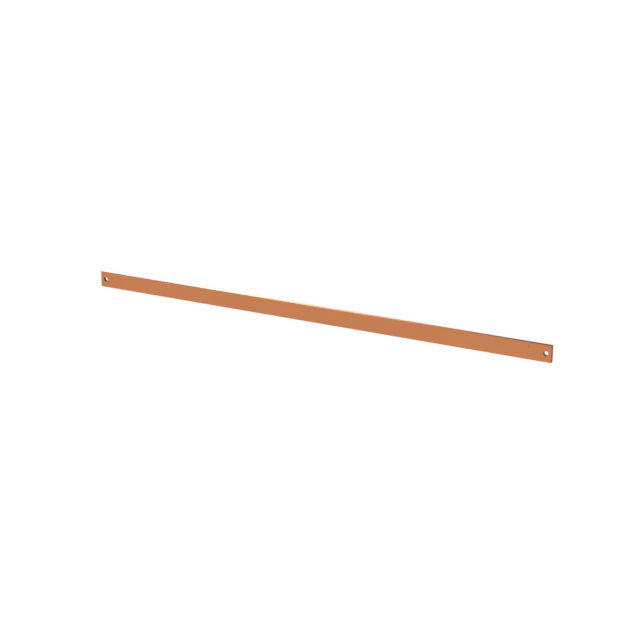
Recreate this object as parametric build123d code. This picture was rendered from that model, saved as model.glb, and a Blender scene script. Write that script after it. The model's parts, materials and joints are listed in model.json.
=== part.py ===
from build123d import *
import os

# Flat copper busbar: one drawn and sawn length of bar with a bolt hole near each end,
# and a small steel pin pressed into the upper face beside each hole.
# X runs along the bar, Y across its width and Z up through its thickness.
# The bar lies on its underside, and the origin is at the middle of that face.
# Every size is in millimetres.

# The bar
BAR_LENGTH = 900.0
BAR_WIDTH = 30.0
BAR_THICKNESS = 7.0
LONG_EDGE_RADIUS = 0.3
SAWN_END_CHAMFER = 0.2

# The bolt hole near each end, on the centre line
BOLT_HOLE_DIAMETER = 9.0
BOLT_HOLE_FROM_END = 10.0
BOLT_HOLE_DEBURR = 0.2

# The small pin near each end, towards the +Y edge
PIN_DIAMETER = 3.0
PIN_LENGTH = 5.0
PIN_CROWN_HEIGHT = 0.3
PIN_FROM_END = 40.0
PIN_FROM_EDGE = 5.7

# The two ends, by name and by their side of the origin
ENDS = {"left": -1, "right": 1}


def along(side, distance_from_end):
    """X of a place at a distance from the bar's left or right end."""
    return side * (BAR_LENGTH / 2 - distance_from_end)


def pin_places():
    """Middle of each pin's crown, flush with the bar's upper face."""
    pin_y = BAR_WIDTH / 2 - PIN_FROM_EDGE
    return {end: Pos(along(side, PIN_FROM_END), pin_y, BAR_THICKNESS) for end, side in ENDS.items()}


def drawn_bar():
    """The plain length of bar, its long edges rounded by drawing and its ends sawn square."""
    section = Plane.YZ * RectangleRounded(BAR_WIDTH, BAR_THICKNESS, LONG_EDGE_RADIUS)
    bar = Pos(0, 0, BAR_THICKNESS / 2) * extrude(section, BAR_LENGTH / 2, both=True)
    sawn_faces = bar.faces().sort_by(Axis.X)
    sawn_edges = sawn_faces[0].edges() + sawn_faces[-1].edges()
    return chamfer(sawn_edges, SAWN_END_CHAMFER)


def bolt_hole(side):
    """One bolt hole's cutter: its straight wall, opened by a deburring cone at each face."""
    radius = BOLT_HOLE_DIAMETER / 2
    mouth = radius + BOLT_HOLE_DEBURR
    top = BAR_THICKNESS
    outline = Polyline(
        (0, 0),
        (mouth, 0),
        (radius, BOLT_HOLE_DEBURR),
        (radius, top - BOLT_HOLE_DEBURR),
        (mouth, top),
        (0, top),
        close=True,
    )
    cutter = revolve(Plane.XZ * make_face(outline), Axis.Z)
    return Pos(along(side, BOLT_HOLE_FROM_END), 0, 0) * cutter


def pin_seat():
    """The blind hole of one pin, below the middle of its crown."""
    return Cylinder(PIN_DIAMETER / 2, PIN_LENGTH, align=(Align.CENTER, Align.CENTER, Align.MAX))


def pin():
    """One plain pin with a low domed crown, its axis on Z and its crown's middle at the origin."""
    radius = PIN_DIAMETER / 2
    crown_radius = (radius**2 + PIN_CROWN_HEIGHT**2) / (2 * PIN_CROWN_HEIGHT)
    shoulder = (radius, -PIN_CROWN_HEIGHT)
    shank = Polyline((0, 0), (0, -PIN_LENGTH), (radius, -PIN_LENGTH), shoulder)
    crown = RadiusArc((0, 0), shoulder, crown_radius)
    return revolve(Plane.XZ * make_face(shank + crown), Axis.Z)


def copper_bar():
    """The drawn bar with its two bolt holes and the seats of its two pins."""
    bar = drawn_bar()
    for side in ENDS.values():
        bar -= bolt_hole(side)
    for place in pin_places().values():
        bar -= place * pin_seat()
    return bar


def parts():
    """Every piece of the busbar, by its name."""
    pieces = {"copper_bar": copper_bar()}
    for end, place in pin_places().items():
        pieces[f"{end}_pin"] = place * pin()
    return pieces


os.makedirs("parts", exist_ok=True)
for name, piece in parts().items():
    export_step(piece, f"parts/{name}.step")
    print(name, round(piece.volume, 2), "mm3", piece.bounding_box())
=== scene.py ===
import json
import math

import bpy
from mathutils import Matrix, Vector


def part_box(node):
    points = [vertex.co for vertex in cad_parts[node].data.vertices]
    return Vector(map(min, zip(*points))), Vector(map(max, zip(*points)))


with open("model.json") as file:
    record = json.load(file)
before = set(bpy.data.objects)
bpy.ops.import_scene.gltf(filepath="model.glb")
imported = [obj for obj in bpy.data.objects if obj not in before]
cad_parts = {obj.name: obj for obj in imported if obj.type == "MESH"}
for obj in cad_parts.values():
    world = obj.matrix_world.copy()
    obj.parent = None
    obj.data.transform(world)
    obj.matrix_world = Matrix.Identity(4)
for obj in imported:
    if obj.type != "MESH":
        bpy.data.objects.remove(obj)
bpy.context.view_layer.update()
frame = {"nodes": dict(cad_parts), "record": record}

# The bar and a pin as packed, in metres: the bar lies on its underside with its length along X,
# and both ends are alike, so places near an end are given for the right one
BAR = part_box("copper_bar")
BAR_LENGTH = BAR[1].x - BAR[0].x
BAR_WIDTH = BAR[1].y - BAR[0].y
BAR_THICKNESS = BAR[1].z - BAR[0].z
MOUNTS = {mount["name"]: mount for mount in frame["record"]["mounts"]}
HOLE_X, HOLE_Y = MOUNTS["right_bolt_hole"]["pos_m"][:2]
HOLE_RADIUS = MOUNTS["right_bolt_hole"]["dims"]["r_mm"] / 1000
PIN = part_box("right_pin")
PIN_RADIUS = (PIN[1].x - PIN[0].x) / 2
PIN_X = PIN[0].x + PIN_RADIUS
PIN_Y = PIN[0].y + PIN_RADIUS
# A place this close to a hole's wall or to a sawn end counts as on it
ON_SURFACE = 0.00005

# The photograph's camera, as it stands to a bar held upright on its lower edge: turned to the
# right of the bar's face, raised above it, and at a distance that is given in bar widths
CAMERA_TURN = math.radians(28.082)
CAMERA_RAISE = math.radians(18.431)
CAMERA_DISTANCE = 97.294 * BAR_WIDTH
# How far the camera sees, in metres
CAMERA_SEES_TO = 50.0
FOCAL_PIXELS = 1647.64
PICTURE_PIXELS = 625
SENSOR_MM = 36.0
# How far the bar's middle is right of and above the picture's centre, in pixels
MIDDLE_RIGHT_PIXELS = -1.609
MIDDLE_UP_PIXELS = -1.558

# Copper's colours, in 0 to 255 display values
FRESH_COPPER = (200, 129, 86)
DULL_COPPER = (198, 127, 84)
# The hole walls' colour is darker than the bar's: painted shade in the bores
DRILLED_COPPER_PAINTED_SHADE = (168, 110, 68)
# Marks in the copper: noise in cycles per metre along X, Y and Z
DRAWN_LINES = (5.0, 2200.0, 2200.0)
SAW_MARKS = (600.0, 60.0, 2600.0)
DRILL_MARKS = (120.0, 120.0, 4200.0)
TARNISH_PATCHES = (14.0, 60.0, 60.0)
HANDLING_MARKS = (160.0, 420.0, 420.0)
# How much the marks lighten and darken the colour, everywhere and also on cut surfaces
DRAWN_SHADE = 0.015
CUT_SHADE = 0.05
COPPER_ROUGHNESS = (0.28, 0.34)
HANDLED_ROUGHER = 0.04
SAWN_ROUGHER = 0.1
COPPER_BUMP = 0.25

# The pins' steel: darker in the middle of the crown than round it, as painted shade, with the
# change between two shares of the pin's radius
STEEL_MIDDLE_PAINTED_SHADE = (85, 103, 108)
STEEL_ROUND_IT = (164, 170, 164)
STEEL_CHANGE = (0.4, 0.75)
STEEL_CHANGE_WANDER = 0.05
STEEL_GRAIN = (1500.0, 1500.0, 1500.0)
STEEL_ROUGHNESS = (0.28, 0.4)
STEEL_BUMP = 0.2

# The depth of all marks, in metres
MARK_DEPTH = 0.00002
# The range in which most of a noise's values lie
NOISE_RANGE = (0.3, 0.7)

# The floor: its reach from the middle and its drop below the bar in metres, its shade on matt
# surfaces, the glow and the share of lit paper that the camera sees, and its glow in reflections
FLOOR_REACH = 6.0
FLOOR_DROP = 0.0001
FLOOR_PAPER = 0.8
FLOOR_GLOW = 0.87
FLOOR_LIT_SHARE = 0.2
FLOOR_IN_REFLECTIONS = 0.33

# The far edge reflects steeply down, so its light comes from a card under a slot in the floor
# that reflections see: seen from lower down, the edge reflects the plain floor instead
SLOT_WIDTH = 0.006
SLOT_LEFT_SLANT = math.radians(20)
# How far below the floor the card is, and its reach under the bar, away from it and past its ends
CARD_DEPTH = 0.1
CARD_UNDER_BAR = 0.02
CARD_REACH = 0.078
CARD_PAST_ENDS = 0.12
# The card's red, green and blue light at its bright end and at its dim end, and where each
# starts and ends to fade, in half bar lengths from the middle
CARD_BRIGHT = (2.28, 4.38, 5.70)
CARD_DIM = (0.0235, 0.14, 0.07)
CARD_FADE_START = (-0.32, -0.68, -0.94)
CARD_FADE_END = (2.69, 1.77, 1.90)

# The surrounding light near the horizon in reflections, the height at which it is full, as
# the sine of its angle, and its level on matt surfaces
HORIZON_LEVEL = 0.4
FULL_FROM_HEIGHT = 0.5
MATT_LEVEL = 0.6


def srgb(red, green, blue):
    """A colour given in 0 to 255 display values, as linear RGBA."""
    def linear(value):
        value = value / 255
        return value / 12.92 if value <= 0.04045 else ((value + 0.055) / 1.055) ** 2.4
    return (linear(red), linear(green), linear(blue), 1.0)


class Graph:
    """Short calls for building a node tree."""

    def __init__(self, tree):
        self.tree = tree
        tree.nodes.clear()

    def add(self, kind, **settings):
        """A new node with the given settings."""
        node = self.tree.nodes.new(kind)
        for name, value in settings.items():
            setattr(node, name, value)
        return node

    def join(self, source, target):
        self.tree.links.new(source, target)

    def feed(self, target, value):
        """Joins a socket to the target, or sets the target to a plain value."""
        if isinstance(value, bpy.types.NodeSocket):
            self.join(value, target)
        else:
            target.default_value = value

    def math(self, operation, first, second=None):
        """One sum on sockets or plain values."""
        node = self.add("ShaderNodeMath", operation=operation)
        self.feed(node.inputs[0], first)
        if second is not None:
            self.feed(node.inputs[1], second)
        return node.outputs[0]

    def ramp(self, value, low, high, start=0.0, end=1.0, smooth=True):
        """Maps low..high to start..end, held at both ends."""
        node = self.add("ShaderNodeMapRange", clamp=True)
        node.interpolation_type = "SMOOTHSTEP" if smooth else "LINEAR"
        self.feed(node.inputs["Value"], value)
        node.inputs["From Min"].default_value = low
        node.inputs["From Max"].default_value = high
        node.inputs["To Min"].default_value = start
        node.inputs["To Max"].default_value = end
        return node.outputs["Result"]

    def mix(self, factor, first, second, blend="MIX"):
        """Two colours blended by a factor, where 0 gives the first."""
        node = self.add("ShaderNodeMix", data_type="RGBA", blend_type=blend)
        self.feed(node.inputs[0], factor)
        self.feed(node.inputs[6], first)
        self.feed(node.inputs[7], second)
        return node.outputs[2]

    def noise(self, place, cycles, detail=2.0, roughness=0.5):
        """Noise on object coordinates, in cycles per metre along X, Y and Z."""
        scaled = self.add("ShaderNodeVectorMath", operation="MULTIPLY")
        self.join(place, scaled.inputs[0])
        scaled.inputs[1].default_value = cycles
        node = self.add("ShaderNodeTexNoise")
        self.join(scaled.outputs[0], node.inputs["Vector"])
        node.inputs["Scale"].default_value = 1.0
        node.inputs["Detail"].default_value = detail
        node.inputs["Roughness"].default_value = roughness
        return node.outputs["Fac"]

    def place(self):
        """Object coordinates: all three together, X alone and Y alone."""
        place = self.add("ShaderNodeTexCoord").outputs["Object"]
        xyz = self.add("ShaderNodeSeparateXYZ")
        self.join(place, xyz.inputs[0])
        return place, xyz.outputs["X"], xyz.outputs["Y"]

    def distance(self, x, y, centre_x, centre_y):
        """How far a place is, in plan, from a centre that both ends of the bar have."""
        along = self.math("SUBTRACT", self.math("ABSOLUTE", x), centre_x)
        across = self.math("SUBTRACT", y, centre_y)
        along_squared = self.math("MULTIPLY", along, along)
        across_squared = self.math("MULTIPLY", across, across)
        return self.math("SQRT", self.math("ADD", along_squared, across_squared))

    def grey(self, value):
        """A value as a colour with three equal parts."""
        colour = self.add("ShaderNodeCombineColor")
        for socket in colour.inputs:
            self.join(value, socket)
        return colour.outputs[0]

    def glow(self, strength=1.0, colour=(1.0, 1.0, 1.0, 1.0)):
        """An emission shader."""
        node = self.add("ShaderNodeEmission")
        self.feed(node.inputs["Color"], colour)
        node.inputs["Strength"].default_value = strength
        return node.outputs[0]

    def surface(self, shader):
        """Joins a shader to the material's output."""
        self.join(shader, self.add("ShaderNodeOutputMaterial").inputs["Surface"])


def new_material(name):
    """An empty node material and its graph."""
    material = bpy.data.materials.new(name)
    material.use_nodes = True
    return material, Graph(material.node_tree)


# Materials of the object

def metal(name):
    """A material with a Principled metal shader joined to its output."""
    material, g = new_material(name)
    shader = g.add("ShaderNodeBsdfPrincipled")
    shader.inputs["Metallic"].default_value = 1.0
    g.surface(shader.outputs[0])
    return material, g, shader


def add_marks(g, shader, height, strength):
    """Gives a shader bump from a height between 0 and 1."""
    bump = g.add("ShaderNodeBump")
    bump.inputs["Strength"].default_value = strength
    bump.inputs["Distance"].default_value = MARK_DEPTH
    g.join(height, bump.inputs["Height"])
    g.join(bump.outputs[0], shader.inputs["Normal"])


def copper_material():
    """Drawn copper: fine lines along the bar, faint tarnish, sawn ends, and drilled hole walls
    painted darker as shade in the bores.
    """
    material, g, shader = metal("drawn_copper")
    place, x, y = g.place()
    in_hole = g.math("LESS_THAN", g.distance(x, y, HOLE_X, HOLE_Y), HOLE_RADIUS + ON_SURFACE)
    on_end = g.math("GREATER_THAN", g.math("ABSOLUTE", x), BAR_LENGTH / 2 - ON_SURFACE)

    drawn = g.noise(place, DRAWN_LINES, detail=3.0, roughness=0.55)
    drilled = g.noise(place, DRILL_MARKS)
    sawn = g.noise(place, SAW_MARKS)
    marks = g.mix(on_end, g.mix(in_hole, drawn, drilled), sawn)
    tarnish = g.noise(place, TARNISH_PATCHES, detail=3.0, roughness=0.55)
    handling = g.noise(place, HANDLING_MARKS, detail=4.0, roughness=0.6)

    colour = g.mix(g.ramp(tarnish, *NOISE_RANGE), srgb(*FRESH_COPPER), srgb(*DULL_COPPER))
    # Painted shade: the hole walls take the darker drilled colour
    colour = g.mix(in_hole, colour, srgb(*DRILLED_COPPER_PAINTED_SHADE))
    cut = g.math("MAXIMUM", in_hole, on_end)
    reach = g.math("ADD", DRAWN_SHADE, g.math("MULTIPLY", cut, CUT_SHADE))
    swing = g.math("MULTIPLY", g.ramp(marks, *NOISE_RANGE, -1.0, 1.0, smooth=False), reach)
    colour = g.mix(1.0, colour, g.grey(g.math("ADD", 1.0, swing)), blend="MULTIPLY")
    g.join(colour, shader.inputs["Base Color"])

    rough = g.ramp(marks, *NOISE_RANGE, *COPPER_ROUGHNESS, smooth=False)
    rough = g.math("ADD", rough, g.ramp(handling, *NOISE_RANGE, 0.0, HANDLED_ROUGHER))
    rough = g.math("ADD", rough, g.math("MULTIPLY", on_end, SAWN_ROUGHER))
    g.join(rough, shader.inputs["Roughness"])
    add_marks(g, shader, marks, COPPER_BUMP)
    return material


def steel_material():
    """Steel of the pins: a fine even grain, and painted shade that darkens the middle of the crown.
    """
    material, g, shader = metal("pin_steel")
    place, x, y = g.place()
    grain = g.noise(place, STEEL_GRAIN, detail=3.0)
    wander = g.ramp(grain, *NOISE_RANGE, -STEEL_CHANGE_WANDER, STEEL_CHANGE_WANDER)
    share = g.math("DIVIDE", g.distance(x, y, PIN_X, PIN_Y), PIN_RADIUS)
    share = g.math("ADD", share, wander)
    # Painted shade: the middle of the crown is darker than the steel round it
    colour = g.mix(g.ramp(share, *STEEL_CHANGE), srgb(*STEEL_MIDDLE_PAINTED_SHADE), srgb(*STEEL_ROUND_IT))
    g.join(colour, shader.inputs["Base Color"])
    g.join(g.ramp(grain, *NOISE_RANGE, *STEEL_ROUGHNESS), shader.inputs["Roughness"])
    add_marks(g, shader, grain, STEEL_BUMP)
    return material


def dress_nodes():
    """Gives every CAD node its finish."""
    copper = copper_material()
    steel = steel_material()
    finishes = {"copper_bar": copper, "left_pin": steel, "right_pin": steel}
    for name, finish in finishes.items():
        for material_slot in frame["nodes"][name].material_slots:
            material_slot.material = finish


# The stage: floor, light card, surrounding light and lamps

def floor_material():
    """White paper that the camera sees as the picture's white ground, with the bar's faint shadow."""
    material, g = new_material("white_paper")
    paper = g.add("ShaderNodeBsdfDiffuse")
    paper.inputs["Color"].default_value = (FLOOR_PAPER, FLOOR_PAPER, FLOOR_PAPER, 1.0)
    faint = g.add("ShaderNodeBsdfDiffuse")
    faint.inputs["Color"].default_value = (FLOOR_LIT_SHARE, FLOOR_LIT_SHARE, FLOOR_LIT_SHARE, 1.0)
    white = g.add("ShaderNodeAddShader")
    g.join(faint.outputs[0], white.inputs[0])
    g.join(g.glow(FLOOR_GLOW), white.inputs[1])
    choose = g.add("ShaderNodeMixShader")
    g.join(g.add("ShaderNodeLightPath").outputs["Is Camera Ray"], choose.inputs[0])
    g.join(paper.outputs[0], choose.inputs[1])
    g.join(white.outputs[0], choose.inputs[2])
    g.surface(choose.outputs[0])
    return material


def reflected_floor_material():
    """The floor as reflections see it: a plain even glow."""
    material, g = new_material("reflected_paper")
    g.surface(g.glow(FLOOR_IN_REFLECTIONS))
    return material


def edge_card_material():
    """The card for the far edge: bright and cool at the left, fading to dim at the right."""
    material, g = new_material("edge_card_light")
    _, x, _ = g.place()
    share = g.math("DIVIDE", x, BAR_LENGTH / 2)
    colour = g.add("ShaderNodeCombineColor")
    fades = zip(colour.inputs, CARD_BRIGHT, CARD_DIM, CARD_FADE_START, CARD_FADE_END)
    for socket, bright, dim, start, end in fades:
        fade = g.ramp(share, start, end, math.log(bright), math.log(dim))
        g.join(g.math("EXPONENT", fade), socket)
    g.surface(g.glow(colour=colour.outputs[0]))
    return material


def sheet(name, material, *faces):
    """A thin sheet of flat faces, each given by its four corners, that isn't part of the object."""
    corners = [corner for face in faces for corner in face]
    rings = [tuple(range(first, first + 4)) for first in range(0, len(corners), 4)]
    mesh = bpy.data.meshes.new(name)
    mesh.from_pydata(corners, [], rings)
    mesh.materials.append(material)
    made = bpy.data.objects.new(name, mesh)
    bpy.context.scene.collection.objects.link(made)
    return made


def level(low_x, low_y, high_x, high_y, height):
    """The corners of a level rectangle."""
    return [(low_x, low_y, height), (high_x, low_y, height),
            (high_x, high_y, height), (low_x, high_y, height)]


def show_only_in_reflections(made):
    """Hides a sheet from everything but glossy rays."""
    made.visible_camera = False
    made.visible_diffuse = False
    made.visible_shadow = False
    made.visible_transmission = False


def build_floor():
    """The floor that everything but reflections sees."""
    far = FLOOR_REACH
    floor = sheet("floor", floor_material(), level(-far, -far, far, far, -FLOOR_DROP))
    floor.visible_glossy = False


def build_reflected_floor():
    """The floor that reflections see, with a slot that follows the bar's far edge.

    The slot's left end slants away from the bar's corner, and a low fence along that slant
    keeps the card below out of the left end face's reflections.
    """
    far, ground = FLOOR_REACH, -FLOOR_DROP
    end, near = BAR_LENGTH / 2, BAR_WIDTH / 2
    slot_far = near + SLOT_WIDTH
    slant_x = -end - SLOT_WIDTH / math.tan(SLOT_LEFT_SLANT)
    left_of_slot = [(-far, near, ground), (-end, near, ground),
                    (slant_x, slot_far, ground), (-far, slot_far, ground)]
    fence = [(-end, near, ground), (slant_x, slot_far, ground),
             (slant_x, slot_far, BAR_THICKNESS), (-end, near, BAR_THICKNESS)]
    reflected = sheet("reflected_floor", reflected_floor_material(),
                      level(-far, -far, far, near, ground), level(-far, slot_far, far, far, ground),
                      level(end, near, far, slot_far, ground), left_of_slot, fence)
    show_only_in_reflections(reflected)


def build_edge_card():
    """The light card below the slot."""
    end, near = BAR_LENGTH / 2 + CARD_PAST_ENDS, BAR_WIDTH / 2
    card = sheet("edge_card", edge_card_material(),
                 level(-end, near - CARD_UNDER_BAR, end, near + CARD_REACH, -CARD_DEPTH))
    show_only_in_reflections(card)


def build_world():
    """White light: 1 to the camera, and in reflections 1 overhead and dimmer near the horizon."""
    world = bpy.data.worlds.new("studio")
    bpy.context.scene.world = world
    world.use_nodes = True
    g = Graph(world.node_tree)
    direction = g.add("ShaderNodeSeparateXYZ")
    g.join(g.add("ShaderNodeTexCoord").outputs["Generated"], direction.inputs[0])
    overhead = g.ramp(direction.outputs[2], 0.0, FULL_FROM_HEIGHT, HORIZON_LEVEL, 1.0)
    path = g.add("ShaderNodeLightPath")
    direct = g.math("MAXIMUM", path.outputs["Is Camera Ray"], path.outputs["Is Transmission Ray"])
    strength = g.add("ShaderNodeMix", data_type="FLOAT")
    g.join(path.outputs["Is Glossy Ray"], strength.inputs[0])
    g.join(g.ramp(direct, 0.0, 1.0, MATT_LEVEL, 1.0, smooth=False), strength.inputs[2])
    g.join(overhead, strength.inputs[3])
    background = g.add("ShaderNodeBackground")
    background.inputs["Color"].default_value = (1.0, 1.0, 1.0, 1.0)
    g.join(strength.outputs[0], background.inputs["Strength"])
    g.join(background.outputs[0], g.add("ShaderNodeOutputWorld").inputs["Surface"])


def area_lamp(name, place, size, power):
    """A rectangular lamp at a place, turned to the middle of the bar's underside."""
    data = bpy.data.lights.new(name, "AREA")
    data.shape = "RECTANGLE"
    data.size, data.size_y = size
    data.energy = power
    lamp = bpy.data.objects.new(name, data)
    bpy.context.scene.collection.objects.link(lamp)
    lamp.location = place
    lamp.rotation_euler = Vector(place).to_track_quat("Z", "Y").to_euler()


def build_lamps():
    """One large soft lamp above, and a long low one on the side away from the pins."""
    area_lamp("soft_lamp", place=(1.0, 0.8, 1.7), size=(1.9, 1.9), power=6.0)
    area_lamp("rim_lamp", place=(-0.75, -1.5, 0.45), size=(2.2, 0.6), power=4.0)


def build_camera():
    """The photograph's camera, laid down with the bar: what was upright is now along Y."""
    turn, rise = CAMERA_TURN, CAMERA_RAISE
    right = Vector((math.cos(turn), math.sin(turn), 0))
    up = Vector((-math.sin(turn) * math.sin(rise), math.cos(turn) * math.sin(rise), math.cos(rise)))
    back = right.cross(up)
    metres_per_pixel = CAMERA_DISTANCE / FOCAL_PIXELS
    stand = (back * CAMERA_DISTANCE - right * MIDDLE_RIGHT_PIXELS * metres_per_pixel
             - up * MIDDLE_UP_PIXELS * metres_per_pixel)
    upright = Matrix((right, up, back)).transposed().to_4x4()
    upright.translation = stand
    lay_down = Matrix.Translation((0, 0, BAR_THICKNESS)) @ Matrix.Rotation(math.radians(-90), 4, "X")
    data = bpy.data.cameras.new("camera")
    data.sensor_width = SENSOR_MM
    data.lens = SENSOR_MM * FOCAL_PIXELS / PICTURE_PIXELS
    data.clip_end = CAMERA_SEES_TO
    camera = bpy.data.objects.new("camera", data)
    bpy.context.scene.collection.objects.link(camera)
    camera.matrix_world = lay_down @ upright
    bpy.context.scene.camera = camera


build_camera()
build_world()
build_lamps()
build_floor()
build_reflected_floor()
build_edge_card()
dress_nodes()
bpy.context.scene.view_settings.view_transform = "Standard"
